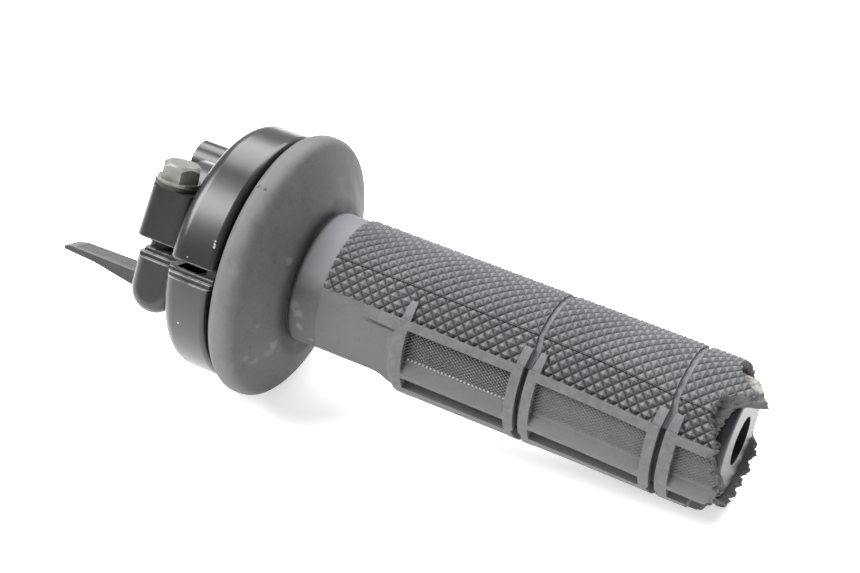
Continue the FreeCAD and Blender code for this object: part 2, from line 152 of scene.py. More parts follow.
def torn_edge(theta):
    """Station of the torn end at an angle in degrees."""
    th, x = along_tear(EDGE, theta)
    rough = 0.16 * np.sin(th * 1.9 + 0.6) + 0.11 * np.sin(th * 4.3) + 0.08 * np.sin(th * 8.7 + 2.0)
    return x + rough


def outside_end(theta):
    """Station where the patterned outside stops."""
    th, x = along_tear(OUTSIDE, theta)
    return x + 0.22 * np.sin(th * 0.9 + 1.1) + 0.14 * np.sin(th * 2.7)


def lattice(x, psi):
    """0 in the valleys between the pyramids, 1 at their tips."""
    out = np.zeros(np.broadcast(x, psi).shape)
    for x0, start, pitch, x1 in SECTIONS:
        p = (x - start) / (pitch / 2)
        q = (psi - PSI0) / ROW
        p, q = np.broadcast_arrays(p, q)
        even = np.mod(np.floor(p + 1e-6) + np.floor(q + 1e-6), 2) < 0.5
        fp = p - np.floor(p + 1e-6)
        fq = q - np.floor(q + 1e-6)
        t = np.where(even, np.abs(1 - fp - fq), np.abs(fp - fq))
        inside = (x >= x0 - 1e-9) & (x < x1)
        out = np.where(np.broadcast_to(inside, out.shape), t, out)
    return out


def diagonal_down(x, psi):
    """True where a cell's valley runs from high x, low psi to low x, high psi."""
    out = np.zeros(np.broadcast(x, psi).shape, bool)
    for x0, start, pitch, x1 in SECTIONS:
        p = (x - start) / (pitch / 2)
        q = (psi - PSI0) / ROW
        even = np.mod(np.floor(p) + np.floor(q), 2) < 0.5
        out = np.where((x >= x0) & (x < x1), even, out)
    return out


def between(v, lo, hi, soft=0.0):
    if soft <= 0:
        return ((v > lo) & (v < hi)).astype(float)
    return smooth(v, lo, lo + soft) * (1 - smooth(v, hi - soft, hi))


def outer_radius(x, psi):
    """Radius of the grip's outside, with its pattern masks, past the collar."""
    t = lattice(x, psi)
    _, start, pitch, _ = SECTIONS[0]
    cell = np.sin(np.floor((x - start) / pitch) * 12.9 + np.floor((psi - PSI0) / ROW) * 78.2) * 43758.5
    wear = 0.90 + 0.10 * (cell - np.floor(cell))
    top_wear = 1 - 0.12 * smooth(psi, 100, 60)
    rise = (TIP_R - VALLEY_R) * np.minimum(t * wear * 1.02, 0.93) * top_wear
    r = VALLEY_R + rise
    ridge = t.copy()
    tex = np.zeros_like(r)

    # parting line of the mould
    line = np.exp(-((psi - PARTING) / 0.28) ** 2)
    r = r - 0.30 * line
    ridge = ridge * (1 - line)

    # tabs that run up from the frames into the pyramids
    for x0, x1, end, lean in TABS:
        m = between(x, x0, x1) * between(psi, end, RAIL[0] + 1)
        r = np.where(m > 0.5, TAB_R, r)
        ridge = np.where(m > 0.5, 0.62, ridge)

    # underside: smooth panel at first, then frames round recessed windows
    under = psi > RAIL[0] - 0.2
    level = COLLAR_R + (FRAME_R - COLLAR_R) * np.where(
        psi < 178, smooth(x, 46.5, 56.0), smooth(x, 54.6, 56.3))
    panel = level + 0 * psi
    inside = np.zeros(panel.shape, bool)
    for lo, hi in WINDOWS:
        inside |= (x > lo) & (x < hi) & (psi > 0)
    floor = FLOOR_R + (FRAME_R - FLOOR_R) * smooth(psi, 198.0, WINDOW_END)
    floor = floor + 0.10 * np.sin((psi - 200.5) * 2.0) * between(psi, 200.0, 210.4, 1.0)
    window = inside & (psi > RAIL[1]) & (psi < WINDOW_END)
    recess = inside & (psi > RECESS[0]) & (psi < RECESS[1])
    panel = np.where(window, floor, panel)
    panel = np.where(recess, RECESS_R, panel)
    tex = np.where(window & under, 1 - smooth(psi, 198.5, 201.0), tex)
    # painted shadow along the windows' left walls and under the rail: a lower ridge value, darker in the
    # material
    painted_wall_shadow = np.zeros_like(panel)
    for lo, _ in WINDOWS:
        painted_wall_shadow = np.maximum(painted_wall_shadow, between(x, lo, lo + 1.3) * smooth(x, lo + 1.3, lo + 0.3))
    painted_wall_shadow = np.maximum(painted_wall_shadow, smooth(psi, RAIL[1] + 3.2, RAIL[1] + 0.6))
    r = np.where(under, panel, r)
    ridge = np.where(under, 0.62 + 0.2 * (level > 16.4), ridge)
    ridge = np.where(under & (window | recess), 0.42 - 0.40 * painted_wall_shadow, ridge)

    # grooves round the grip
    for lo, hi in GROOVES:
        m = (x > lo) & (x < hi) & (psi > 0)
        depth = np.where(psi > RAIL[0], GROOVE_UNDER_R, GROOVE_R)
        r = np.where(m, depth, r)
        ridge = np.where(m, np.where(psi > RAIL[0], 0.0, 0.45), ridge)
    return r, ridge, tex


def lines(values, keep, gap):
    """Sorted mesh lines: the kept walls, and the other values that are not close to one."""
    keep = np.array(sorted(keep))
    rest = [v for v in values if np.min(np.abs(keep - v)) > gap]
    return np.array(sorted(list(keep) + rest))


def pattern_stations():
    fine = []
    for x0, start, pitch, x1 in SECTIONS:
        step = pitch / 2 / STEPS
        n0 = math.ceil((x0 - start) / step)
        n1 = math.floor((x1 - start) / step)
        fine += [start + n * step for n in range(n0, n1 + 1)]
    walls = [PATTERN_START + 0.02, PATTERN_START + 0.14]
    edges = [x for g in GROOVES for x in g] + [x for r in RIBS for x in r]
    edges += [x for tab in TABS for x in tab[:2]]
    for x in sorted(set(edges)):
        walls += [x - 0.03, x + 0.03]
    merged = []
    for w in sorted(walls):
        if not merged or w - merged[-1] > 0.045:
            merged.append(w)
    return lines(fine, merged, 0.10)


def half_angles():
    """Angles from the top line down to the bottom line."""
    fine = [PSI0 - ROW * k / STEPS for k in range(-4, 21 * STEPS + 1)]
    fine = [v for v in fine if v < RAIL[0] - 0.4]
    walls = [TOP_LINE, PARTING - 0.45, PARTING, PARTING + 0.45, 152.2, 152.6, 152.95, 153.2]
    walls += [RAIL[0] - 0.35, RAIL[0] - 0.05, 169.2, RAIL[1] - 0.9, RAIL[1] - 0.12, RAIL[1] + 0.12]
    walls += [177, 180, 183, 186, 189, 192, 195, 198, 199.5, 201, 202.5, 204, 205.5, 207, 208.5, 210.3]
    walls += [212.5, 214.8, 215.85, 216.15, 219, 222, 225, 228.0, 228.85, 229.15, 230.2, 232.6, BOTTOM_LINE]
    return lines(fine, walls, 0.16)


def grip_profile():
    """(station, radius) of the rings from the bore round the flange to the start of the pattern."""
    rings = [(FLANGE_BACK, BORE_R), (FLANGE_BACK, 14.5), (FLANGE_BACK, 18.0), (FLANGE_BACK, 23.0)]
    for (x, r), start, end in ((RIM_BACK, 180, 90), (RIM_FRONT, 90, 26)):
        for a in np.radians(np.linspace(start, end, 9)):
            rings.append((x + r * math.cos(a), FLANGE_R - r + r * math.sin(a)))
    # down the flange's face, into the groove at its foot and up to the collar
    rings += [(25.2, 27.5), (25.75, 26.3), (26.3, 25.1), (26.85, 23.9), (27.4, 22.7), (27.95, 21.4),
              (28.4, 20.3), (28.8, 19.2), (29.1, 18.3), (29.3, 17.55), (29.4, 16.9), (29.45, 16.2),
              (29.5, 15.5), (29.6, 15.0), (29.75, 14.85), (29.95, 14.95), (30.25, 15.3), (30.65, 15.55),
              (31.1, 15.7), (31.7, COLLAR_R)]
    rings += [(x, COLLAR_R) for x in np.linspace(32.5, 36.6, 7)]
    rings.append((37.0, COLLAR_R))
    return rings


def neck_shade(x, r):
    """Painted shade in the groove between the flange and the collar, as a ridge value: lower is darker."""
    if r > 20.5 or x < 28.0:
        return 0.62
    return 0.62 - 0.60 * math.exp(-((x - 29.9) / 1.05) ** 2)


def thin_bottom(x, theta):
    """How much the underside of the smooth panel has been drawn in."""
    th = np.mod(theta, 360.0)
    band = smooth(th, 226.0, 243.0) * (1 - smooth(th, 288.0, 303.0))
    return (COLLAR_R - THIN_R) * band * smooth(x, 29.9, 31.2) * (1 - smooth(x, 49.5, 54.0))


def painted_down_shade_faces(mesh):
    """Painted shade: 1 on the faces of the pyramids that look down, 0 elsewhere."""
    count = len(mesh.polygons)
    normal = np.empty(count * 3, np.float32)
    centre = np.empty(count * 3, np.float32)
    mesh.polygons.foreach_get("normal", normal)
    mesh.polygons.foreach_get("center", centre)
    normal = normal.reshape(-1, 3)
    centre = centre.reshape(-1, 3)
    outward = centre[:, 1:] / np.linalg.norm(centre[:, 1:], axis=1, keepdims=True)
    sideways = normal[:, 1:] - outward * np.sum(normal[:, 1:] * outward, axis=1, keepdims=True)
    painted_down_shade = np.clip(-2.4 * sideways[:, 1], 0, 1)
    return (painted_down_shade * (centre[:, 0] > PATTERN_START * MM)).astype(np.float32)


def build_grip():
    prof = grip_profile()
    xs = pattern_stations()
    half = half_angles()
    psi = np.concatenate([half, half[::-1][1:-1]])
    phi = np.concatenate([half, 2 * BOTTOM_LINE - half[::-1][1:-1]])
    n_v = len(psi)

    rows_x, rows_r, rows_ridge, rows_tex, rows_u = [], [], [], [], []

    def wobble(x, th):
        return 0.05 * np.sin(np.radians(th) * 3 + x * 0.05) + 0.03 * np.sin(np.radians(th) * 7 + 1.3)

    for x, r in prof:
        out = r + (wobble(x, phi) if r > 15 else 0 * phi) - thin_bottom(x, phi)
        rows_x.append(np.full(n_v, x))
        rows_r.append(out)
        rows_ridge.append(np.full(n_v, neck_shade(x, r)))
        rows_tex.append(np.zeros(n_v))
        rows_u.append(np.full(n_v, x))

    X, P = np.meshgrid(xs, psi, indexing="ij")
    r, ridge, tex = outer_radius(X, P)
    warp = np.zeros_like(X)
    for x0, x1, end, lean in TABS:
        near = np.interp(X, [x0 - 3.0, x0 - 0.06, x0 + 0.06, x1, x1 + 0.4], [0, 1, 1, 0.15, 0])
        up = np.clip((RAIL[0] - P) / (RAIL[0] - end), 0, 1) * (1 - smooth(P, end, end - 12))
        warp += lean * near * up
    for lo, hi in GROOVES:
        mid = (lo + hi) / 2
        open_ = between(P, 225.0, 234.8, 1.5) * 0.55
        warp += np.sign(X - mid) * open_ * np.interp(np.abs(X - mid), [0.2, 0.6, 0.7, 2.0], [0.3, 1, 1, 0])
    XW = X + warp
    theta = np.broadcast_to(phi, X.shape) + twist(XW) * (1 + 0.3 * smooth(P, 160, 140))
    r = r - thin_bottom(XW, theta) * (P > RAIL[0])
    bare = smooth(XW - outside_end(theta), 0.0, 0.55)
    skin = SKIN_R + 0.14 * np.sin(theta * 0.7 + XW * 1.9) + 0.10 * np.sin(theta * 2.3 - XW * 3.1)
    skin = skin + 1.1 * between(theta, 99, 134, 5)
    r = r + (np.minimum(r, skin) - r) * bare
    ridge = ridge + (0.55 - ridge) * bare
    tex = tex * (1 - bare) - bare
    edge = torn_edge(theta)
    over = XW >= edge
    first = np.argmax(over, axis=0)
    XC = np.minimum(XW, edge)
    base = len(prof)
    for i in range(len(xs)):
        rows_x.append(XC[i])
        rows_r.append(r[i])
        rows_ridge.append(ridge[i])
        rows_tex.append(tex[i])
        rows_u.append(xs[i] + 0 * psi)
    # the radius at the tear is the radius of the first station past it
    cols = np.arange(n_v)
    edge_x = edge[first, cols]
    edge_r = r[np.maximum(first - 1, 0), cols]
    edge_theta = theta[first, cols]
    n_pattern = len(xs)

    # torn face, rounded over and rough, then the bore
    tear = []
    for f, back in ((0.10, 0.10), (0.28, 0.02), (0.5, -0.10), (0.75, 0.05), (1.0, 0.35)):
        jag = 0.22 * np.sin(edge_theta * 0.31 + f * 9) + 0.16 * np.sin(edge_theta * 0.83 + f * 23)
        tear.append((edge_x - back + jag * min(1, f * 3) * (f < 1), edge_r + (BORE_R - edge_r) * f))
    for x, rr in tear:
        rows_x.append(x)
        rows_r.append(rr)
        rows_ridge.append(np.full(n_v, 0.3))
        rows_tex.append(np.full(n_v, -1.0))
        rows_u.append(x)
    for x in (120.0, 90.0, 60.0, 35.0):
        rows_x.append(np.full(n_v, x))
        rows_r.append(np.full(n_v, BORE_R))
        rows_ridge.append(np.full(n_v, 0.3))
        rows_tex.append(np.zeros(n_v))
        rows_u.append(np.full(n_v, x))

    RX = np.array(rows_x)
    RR = np.array(rows_r)
    RG = np.array(rows_ridge)
    RT = np.array(rows_tex)
    RU = np.array(rows_u)
    n_u = len(RX)
    TH = np.broadcast_to(phi, RX.shape).copy()
    TH[base:base + n_pattern] = theta
    TH[base + n_pattern:base + n_pattern + len(tear)] = edge_theta
    a = np.radians(TH)
    verts = np.stack([RX, RR * np.cos(a), RR * np.sin(a)], -1).reshape(-1, 3)

    index = np.arange(n_u * n_v).reshape(n_u, n_v)
    for j in range(n_v):
        index[base + first[j]:base + n_pattern, j] = index[base + first[j], j]

    i0 = np.arange(n_u)
    i1 = np.roll(i0, -1)
    j0 = np.arange(n_v)
    j1 = np.roll(j0, -1)
    A = index[i0][:, j0]
    B = index[i1][:, j0]
    C = index[i1][:, j1]
    D = index[i0][:, j1]
    xm = np.full((n_u, n_v), -1.0)
    xm[base:base + n_pattern - 1] = ((X[:-1] + X[1:]) / 2)
    pm = (psi + np.roll(psi, -1)) / 2
    pm = np.broadcast_to(pm, xm.shape)
    down = diagonal_down(xm, pm)
    mirrored = np.broadcast_to(phi >= BOTTOM_LINE, xm.shape)
    down = np.where(mirrored, ~down, down)
    t1 = np.where(down[..., None], np.stack([A, B, D], -1), np.stack([A, B, C], -1)).reshape(-1, 3)
    t2 = np.where(down[..., None], np.stack([B, C, D], -1), np.stack([A, C, D], -1)).reshape(-1, 3)
    tris = np.concatenate([t1, t2])
    ok = (tris[:, 0] != tris[:, 1]) & (tris[:, 1] != tris[:, 2]) & (tris[:, 0] != tris[:, 2])
    tris = tris[ok][:, ::-1]
    used, inverse = np.unique(tris, return_inverse=True)
    tris = inverse.reshape(-1, 3)
    verts = verts[used]
    mesh = bpy.data.meshes.new("rubber_grip")
    mesh.from_pydata(to_row(verts).tolist(), [], tris.tolist())
    mesh.validate()
    at = mesh.attributes.new("ridge", "FLOAT", "POINT")
    at.data.foreach_set("value", RG.reshape(-1)[used].astype(np.float32))
    at = mesh.attributes.new("texture", "FLOAT", "POINT")
    at.data.foreach_set("value", RT.reshape(-1)[used].astype(np.float32))
    along = np.stack([RU, np.broadcast_to(psi, RX.shape) * MM_PER_DEGREE, RR], -1).reshape(-1, 3)[used]
    at = mesh.attributes.new("along", "FLOAT_VECTOR", "POINT")
    at.data.foreach_set("vector", along.astype(np.float32).reshape(-1))
    # painted shade on the pyramids' down-looking faces, carried to the material
    at = mesh.attributes.new("painted_down_shade", "FLOAT", "FACE")
    at.data.foreach_set("value", painted_down_shade_faces(mesh))
    mesh.shade_smooth()
    mesh.set_sharp_from_angle(angle=math.radians(28))
    obj = bpy.data.objects.new("rubber_grip", mesh)
    bpy.context.scene.collection.objects.link(obj)
    return obj


# ---------------------------------------------------------------------------------------------
# Materials
# ---------------------------------------------------------------------------------------------
class Nodes:
    """Small helper for a node tree around one Principled shader."""

    def __init__(self, name):
        self.mat = bpy.data.materials.new(name)
        self.mat.use_nodes = True
        self.tree = self.mat.node_tree
        self.tree.nodes.clear()
        self.out = self.tree.nodes.new("ShaderNodeOutputMaterial")
        self.shader = self.tree.nodes.new("ShaderNodeBsdfPrincipled")
        self.link(self.shader.outputs[0], self.out.inputs["Surface"])
        self.coords = self.tree.nodes.new("ShaderNodeTexCoord").outputs["Object"]

    def link(self, a, b):
        self.tree.links.new(a, b)

    def put(self, socket, value):
        if hasattr(value, "is_linked") or isinstance(value, bpy.types.NodeSocket):
            self.link(value, socket)
        else:
            socket.default_value = value

    def noise(self, scale, detail=4.0, rough=0.55):
        n = self.tree.nodes.new("ShaderNodeTexNoise")
        n.inputs["Scale"].default_value = scale
        n.inputs["Detail"].default_value = detail
        n.inputs["Roughness"].default_value = rough
        self.link(self.coords, n.inputs["Vector"])
        return n.outputs["Fac"]

    def ramp(self, fac, *stops):
        n = self.tree.nodes.new("ShaderNodeValToRGB")
        els = n.color_ramp.elements
        while len(els) < len(stops):
            els.new(0.5)
        for e, (pos, col) in zip(els, stops):
            e.position = pos
            e.color = (col, col, col, 1) if not hasattr(col, "__len__") else (*col, 1)
        self.link(fac, n.inputs["Fac"])
        return n.outputs["Color"]

    def math(self, op, a, b=0.0, c=None):
        n = self.tree.nodes.new("ShaderNodeMath")
        n.operation = op
        self.put(n.inputs[0], a)
        self.put(n.inputs[1], b)
        if c is not None:
            self.put(n.inputs[2], c)
        return n.outputs[0]

    def mix(self, fac, a, b, mode="MIX"):
        n = self.tree.nodes.new("ShaderNodeMix")
        n.data_type = "RGBA"
        n.blend_type = mode
        self.put(n.inputs["Factor"], fac)
        self.put(n.inputs[6], a if not isinstance(a, tuple) else (*a, 1))
        self.put(n.inputs[7], b if not isinstance(b, tuple) else (*b, 1))
        return n.outputs[2]

    def span(self, fac, lo, hi, to_lo, to_hi):
        n = self.tree.nodes.new("ShaderNodeMapRange")
        n.inputs["From Min"].default_value = lo
        n.inputs["From Max"].default_value = hi
        n.inputs["To Min"].default_value = to_lo
        n.inputs["To Max"].default_value = to_hi
        self.link(fac, n.inputs["Value"])
        return n.outputs["Result"]

    def attribute(self, name, output="Fac"):
        n = self.tree.nodes.new("ShaderNodeAttribute")
        n.attribute_name = name
        return n.outputs[output]

    def bump(self, height, strength, distance, normal=None):
        n = self.tree.nodes.new("ShaderNodeBump")
        n.inputs["Strength"].default_value = strength
        n.inputs["Distance"].default_value = distance
        self.link(height, n.inputs["Height"])
        if normal is not None:
            self.link(normal, n.inputs["Normal"])
        return n.outputs["Normal"]

    def near(self, point, radius, soft=0.5, rough=0.0, scale=900):
        """A patch round a point in the row frame, 1 inside and 0 outside, with a broken edge."""
        n = self.tree.nodes.new("ShaderNodeVectorMath")
        n.operation = "DISTANCE"
        self.link(self.coords, n.inputs[0])
        n.inputs[1].default_value = point
        d = n.outputs["Value"]
        if rough:
            ragged = self.math("MULTIPLY", self.math("SUBTRACT", self.noise(scale), 0.5), rough)
            d = self.math("ADD", d, ragged)
        return self.span(d, radius * (1 - soft), radius, 1.0, 0.0)

    def finish(self, color, roughness, normal=None, **sockets):
        self.put(self.shader.inputs["Base Color"], color if not isinstance(color, tuple) else (*color, 1))
        self.put(self.shader.inputs["Roughness"], roughness)
        if normal is not None:
            self.link(normal, self.shader.inputs["Normal"])
        for k, v in sockets.items():
            self.shader.inputs[k.replace("_", " ")].default_value = v
        return self.mat

    def height(self):
        """Height above the plane in which the housing splits, mm."""
        dot = self.tree.nodes.new("ShaderNodeVectorMath")
        dot.operation = "DOT_PRODUCT"
        self.link(self.coords, dot.inputs[0])
        dot.inputs[1].default_value = (0.0, -math.sin(REST_ROLL), math.cos(REST_ROLL))
        return self.math("MULTIPLY", dot.outputs["Value"], 1 / MM)


def marks(m, tone, spots, colour, strength, soft=0.8, ragged=2.4, scale=700):
    """Lay scuffs or chips over a tone; spots are (station, angle, radius, size) in mm and degrees."""
    for x, theta, r, size in spots:
        a = math.radians(theta)
        point = to_row((x, r * math.cos(a), r * math.sin(a)))
        fac = m.near(tuple(point), size * MM, soft, size * MM * ragged, scale)
        tone = m.mix(m.math("MULTIPLY", fac, strength), tone, colour)
    return tone


# station, angle, radius and size of each mark
FACE_SCUFFS = ((28.2, 226.5, 20.6, 2.6), (28.6, 222.0, 19.4, 1.6), (26.6, 226.0, 24.4, 1.9),
               (25.6, 219.0, 26.0, 1.3), (27.2, 201.0, 23.2, 0.8), (29.1, 159.0, 18.6, 1.1),
               (22.9, 172.0, 30.1, 1.6), (22.4, 169.0, 30.2, 0.9))
COLLAR_SCUFFS = ((31.6, 190.0, 15.7, 1.5), (32.6, 197.0, 15.8, 1.4), (33.4, 208.0, 15.8, 1.2),
                 (36.0, 219.0, 15.8, 0.8))
TEAR_SCUFFS = ((129.2, 108.0, 15.3, 2.2), (130.6, 113.0, 15.4, 1.6))
RIM_NICKS = ((19.7, 135.5, 30.2, 0.45), (20.5, 135.9, 30.3, 0.36), (21.5, 136.1, 30.3, 0.42))
KNURL = (1.00, 0.84)          # pitch of the windows' knurl along and around, mm
DASHES_AT = 199.4             # angle of the row of dashes along the first window
# station and angle of the small moulded ring on each tab
TAB_DOTS = ((57.9, 152.8), (84.3, 154.7), (88.0, 155.6), (115.1, 159.4), (118.7, 161.3))


def rubber_material():
    m = Nodes("worn_rubber")
    ridge = m.attribute("ridge")
    texture = m.attribute("texture")
    along = m.attribute("along", "Vector")
    sep = m.tree.nodes.new("ShaderNodeSeparateXYZ")
    m.link(along, sep.inputs[0])
    station, around, radius = sep.outputs
    big = m.noise(60, 4, 0.6)
    mid = m.noise(260, 5, 0.6)
    fine = m.noise(2600, 4, 0.6)
    tone = m.ramp(big, (0.35, (0.062, 0.063, 0.068)), (0.65, (0.084, 0.084, 0.088)))
    tone = m.mix(m.span(mid, 0.40, 0.75, 0.0, 0.45), tone, (0.112, 0.111, 0.113))
    tone = m.mix(m.span(m.noise(1400, 3, 0.7), 0.55, 0.75, 0.0, 0.35), tone, (0.135, 0.135, 0.138))
    tone = m.mix(m.span(m.noise(520, 4, 0.7), 0.45, 0.28, 0.0, 0.5), tone, (0.040, 0.040, 0.043))
    # the smooth panel under the grip is warmer, and the flange's rim is paler, in patches
    panel = m.math("MULTIPLY", m.span(around, 48.0, 51.0, 0.0, 1.0), m.span(station, 31.0, 36.0, 0.0, 1.0))
    tone = m.mix(m.math("MULTIPLY", panel, 0.45), tone, (0.086, 0.082, 0.078))
    # painted reflection: the collar's upper side is lighter and bluish
    collar = m.math("MULTIPLY", m.span(station, 30.6, 31.6, 0.0, 1.0), m.span(station, 36.8, 37.6, 1.0, 0.0))
    collar = m.math("MULTIPLY", collar, m.span(around, 46.0, 50.0, 0.72, 0.0))
    tone = m.mix(collar, tone, (0.215, 0.218, 0.232))
    rim = m.math("MULTIPLY", m.span(radius, 28.6, 30.2, 0.0, 1.0), m.span(mid, 0.3, 0.6, 0.35, 0.75))
    tone = m.mix(rim, tone, (0.135, 0.134, 0.137))
    # painted shade on the faces that look down, stronger below the parting line
    painted_down_shade = m.math("MULTIPLY", m.attribute("painted_down_shade"), m.span(around, 37.0, 42.0, 0.40, 0.92))
    tone = m.mix(painted_down_shade, tone, (0.016, 0.016, 0.018))
    # darker where the ridge value is low: dirt in the pyramids' valleys, darker in the parting line and the
    # grooves under the grip, painted shade in the neck groove and along the windows' walls; the top above the
    # parting line is kept lighter as painted light
    dirt_and_painted_shade = m.math("MAXIMUM", m.span(ridge, 0.0, 0.4, 0.30, 1.0), m.span(around, 37.0, 42.0, 0.55, 0.0))
    tone = m.mix(1.0, tone, m.ramp(dirt_and_painted_shade, (0.0, 0.0), (1.0, 1.0)), "MULTIPLY")
    # the pyramids as a whole are paler than the smooth rubber
    past_collar = m.span(station, 37.0, 37.4, 0.0, 0.55)
    pattern = m.math("MULTIPLY", past_collar, m.span(around, 48.0, 48.3, 1.0, 0.35))
    tone = m.mix(pattern, tone, m.mix(1.0, tone, (2.3, 2.3, 2.36), "MULTIPLY"))
    dust = m.math("MULTIPLY", m.span(ridge, 0.7, 1.0, 0.0, 0.6), m.span(m.noise(700, 3), 0.4, 0.7, 0.0, 1.0))
    tone = m.mix(dust, tone, (0.21, 0.21, 0.215))
    # fine knurl in the recessed windows, which are darker; painted shade in the knurl's hollows and painted
    # glints on its points, fading towards the outer windows
    ka = m.math("SINE", m.math("MULTIPLY", station, 2 * math.pi / KNURL[0]))
    kb = m.math("SINE", m.math("MULTIPLY", around, 2 * math.pi / KNURL[1]))
    in_window = m.math("MAXIMUM", texture, 0.0)
    knurl = m.math("MULTIPLY", m.math("MULTIPLY", ka, kb), in_window)
    sparkle = m.span(m.noise(420, 3), 0.42, 0.64, 0.12, 1.0)
    knurl_glints = m.math("MULTIPLY", m.span(knurl, 0.40, 0.95, 0.0, 1.0), sparkle)
    worn = m.span(station, 84.0, 90.0, 1.0, 0.35)
    knurl_glints = m.math("MULTIPLY", knurl_glints, worn)
    knurl_hollow_shade = m.math("MULTIPLY", m.span(knurl, 0.1, -0.7, 0.0, 0.6), worn)
    tone = m.mix(m.math("MULTIPLY", in_window, 0.35), tone, (0.030, 0.030, 0.033))
    tone = m.mix(knurl_hollow_shade, tone, (0.008, 0.008, 0.009))
    tone = m.mix(knurl_glints, tone, (0.25, 0.25, 0.26))
    row = m.math("COMPARE", around, DASHES_AT * MM_PER_DEGREE, 0.22)
    dash = m.math("GREATER_THAN", m.math("SINE", m.math("MULTIPLY", station, 2 * math.pi / 0.9)), 0.0)
    first = m.math("COMPARE", station, 71.0, 12.0)
    dashes = m.math("MULTIPLY", m.math("MULTIPLY", row, dash), m.math("MULTIPLY", first, 0.7))
    tone = m.mix(dashes, tone, (0.36, 0.36, 0.37))
    # torn rubber is paler and brownish
    torn = m.math("MAXIMUM", m.math("MULTIPLY", texture, -1.0), 0.0)
    torn_tone = m.ramp(mid, (0.3, (0.045, 0.042, 0.040)), (0.6, (0.085, 0.080, 0.074)),
                       (0.8, (0.20, 0.185, 0.165)))
    tone = m.mix(m.math("MULTIPLY", torn, 0.8), tone, torn_tone)
    tone = marks(m, tone, FACE_SCUFFS, (0.19, 0.185, 0.175), 0.36)
    tone = marks(m, tone, COLLAR_SCUFFS, (0.20, 0.185, 0.175), 0.5)
    tone = marks(m, tone, TEAR_SCUFFS, (0.40, 0.37, 0.33), 0.7)
    tone = marks(m, tone, RIM_NICKS, (0.012, 0.012, 0.012), 0.9)
    for x, theta in TAB_DOTS:
        a = math.radians(theta)
        point = tuple(to_row((x, 16.5 * math.cos(a), 16.5 * math.sin(a))))
        disc = m.math("SUBTRACT", m.near(point, 0.62 * MM, 0.3), m.near(point, 0.36 * MM, 0.3))
        tone = m.mix(m.math("MULTIPLY", disc, 0.45), tone, (0.22, 0.22, 0.225))
    grain = m.math("ADD", m.math("MULTIPLY", fine, 0.5), m.math("MULTIPLY", mid, 0.5))
    normal = m.bump(grain, 0.45, 0.00014)
    normal = m.bump(m.math("MULTIPLY", knurl, worn), 1.0, 0.00026, normal)
    rough = m.span(mid, 0.3, 0.7, 0.55, 0.74)
    return m.finish(tone, rough, normal, Specular_IOR_Level=0.42)


PAINT_CHIPS = ((10.64, 174.0, 28.5, 0.22), (15.9, 165.9, 28.4, 0.34), (15.8, 164.7, 28.4, 0.34),
               (15.7, 163.4, 28.4, 0.26), (10.58, 206.7, 28.5, 0.22), (8.83, 204.9, 28.3, 0.20))
# painted highlights along the lips' small rounded edges: height over the split, half width and strength of
# each line
LIP_HIGHLIGHT_LINES = ((-0.62, 0.14, 0.5), (-1.55, 0.16, 0.8), (-2.6, 0.18, 0.6), (1.95, 0.12, 0.3))


def paint_material():
    m = Nodes("gloss_black_paint")
    big = m.noise(60, 3)
    mid = m.noise(420, 4, 0.6)
    tone = m.ramp(big, (0.3, (0.008, 0.008, 0.010)), (0.7, (0.016, 0.015, 0.016)))
    height = m.height()
    # thin pale lines along the lips, painted highlights in place of light on their rounded edges
    for level, width, strength in LIP_HIGHLIGHT_LINES:
        line = m.math("COMPARE", height, level, width)
        line = m.math("MULTIPLY", line, m.span(mid, 0.36, 0.56, 0.1, strength))
        tone = m.mix(line, tone, (0.34, 0.34, 0.35))
    tone = marks(m, tone, PAINT_CHIPS, (0.40, 0.40, 0.42), 0.9, 0.4, 1.4, 2500)
    dust = m.span(m.noise(1300, 5, 0.7), 0.62, 0.80, 0.0, 0.05)
    tone = m.mix(dust, tone, (0.16, 0.155, 0.145))
    normal = m.bump(m.noise(120, 2, 0.5), 0.15, 0.00001)
    rough = m.span(mid, 0.3, 0.75, 0.29, 0.34)
    return m.finish(tone, rough, normal, Specular_IOR_Level=0.45, Coat_Weight=0.2, Coat_Roughness=0.2)


SHANK_TOP = 9.0               # the clamp bolts are painted dark below this height over the split: painted shade inside the housing and in the gap between its halves


def steel_material(name, shaded_below=None):
    """Dulled zinc; below a height over the split the shank is painted dark as shade."""
    m = Nodes(name)
    big = m.noise(240, 5, 0.6)
    fine = m.noise(1800, 4, 0.6)
    tone = m.ramp(big, (0.3, (0.13, 0.13, 0.12)), (0.55, (0.22, 0.22, 0.20)), (0.8, (0.34, 0.33, 0.30)))
    if shaded_below is not None:
        # painted shade on the shank below the given height
        tone = m.mix(m.span(m.height(), shaded_below - 1.0, shaded_below, 0.94, 0.0), tone, (0.012, 0.011, 0.010))
    normal = m.bump(fine, 0.4, 0.00008)
    return m.finish(tone, m.span(fine, 0.3, 0.7, 0.38, 0.62), normal, Metallic=0.75)


def plain_material(name, low, high, rough, scale=300.0, **sockets):
    m = Nodes(name)
    tone = m.ramp(m.noise(scale, 4), (0.3, low), (0.7, high))
    fine = m.noise(scale * 7, 3)
    normal = m.bump(fine, 0.3, 0.00008)
    return m.finish(tone, m.span(fine, 0.3, 0.7, rough * 0.85, rough * 1.15), normal, **sockets)


def use(node, material):
    obj = frame["nodes"][node]
    if not obj.data.materials:
        obj.data.materials.append(material)
    for k in range(len(obj.material_slots)):
        obj.material_slots[k].material = material


# ---------------------------------------------------------------------------------------------
# Assembly
# ---------------------------------------------------------------------------------------------
grip = build_grip()
grip.data.materials.append(rubber_material())
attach(grip, "twist_grip")
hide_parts("grip_rubber")

paint = paint_material()
steel = steel_material("dulled_zinc_steel")
bolt_steel = steel_material("clamp_bolt_steel", SHANK_TOP)
bare = plain_material("plain_steel", (0.22, 0.22, 0.21), (0.38, 0.38, 0.37), 0.35, 500, Metallic=0.9)
